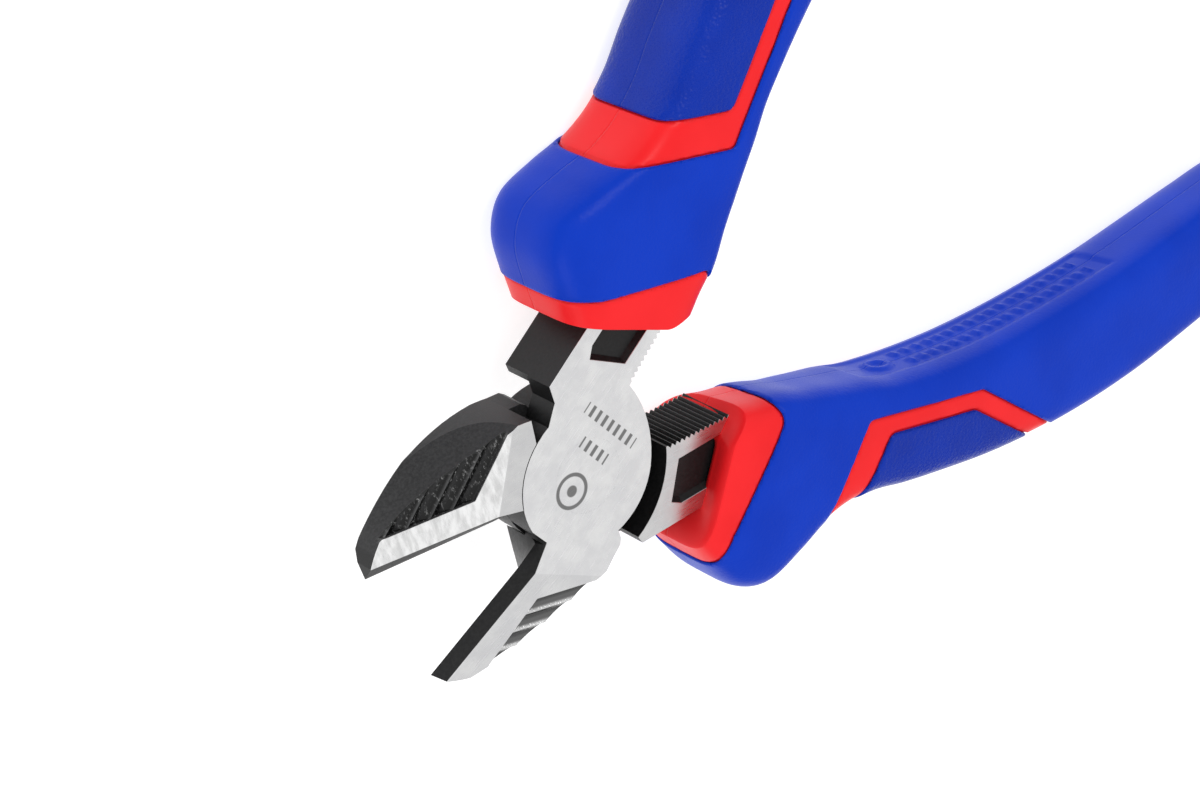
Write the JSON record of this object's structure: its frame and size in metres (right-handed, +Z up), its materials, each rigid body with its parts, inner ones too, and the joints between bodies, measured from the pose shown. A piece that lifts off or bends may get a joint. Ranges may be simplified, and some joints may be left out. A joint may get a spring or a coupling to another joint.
{
  "type": "diagonal cutting pliers",
  "caption": "Hand pliers that cut wire between angled jaws; crossed forged halves turn on a flush rivet, with serrated inner tangs and two-colour insulated handles.",
  "frame": {"origin": "on the rivet's axis, at the ground rear face of the joint", "axes": "+X forward to the jaw tips, +Y left, +Z up out of the ground front face of the joint, along the rivet's axis"},
  "size_m": [0.1666, 0.1424, 0.02],
  "materials": {
    "forged_steel": "ground faces, black oxide elsewhere",
    "rivet_steel": "ground flush with the joint faces",
    "red_plastic": "satin",
    "blue_skin": "satin",
    "blue_pad": "fine leather grain"
  },
  "bodies": {
    "front_half": {"front_half_forging": "forged_steel", "pivot_rivet": "rivet_steel", "front_handle_core": "red_plastic", "front_handle_skin": "blue_skin", "front_handle_palm_pad": "blue_pad"},
    "rear_half": {"rear_half_forging": "forged_steel", "rear_handle_core": "red_plastic", "rear_handle_skin": "blue_skin", "rear_handle_palm_pad": "blue_pad"}
  },
  "joints": [
    {"name": "pivot", "type": "hinge", "parent": "front_half", "child": "rear_half", "pos_m": [0, 0, 0], "axis": [0, 0, 1], "range_deg": [-12, 34.3]}
  ]
}
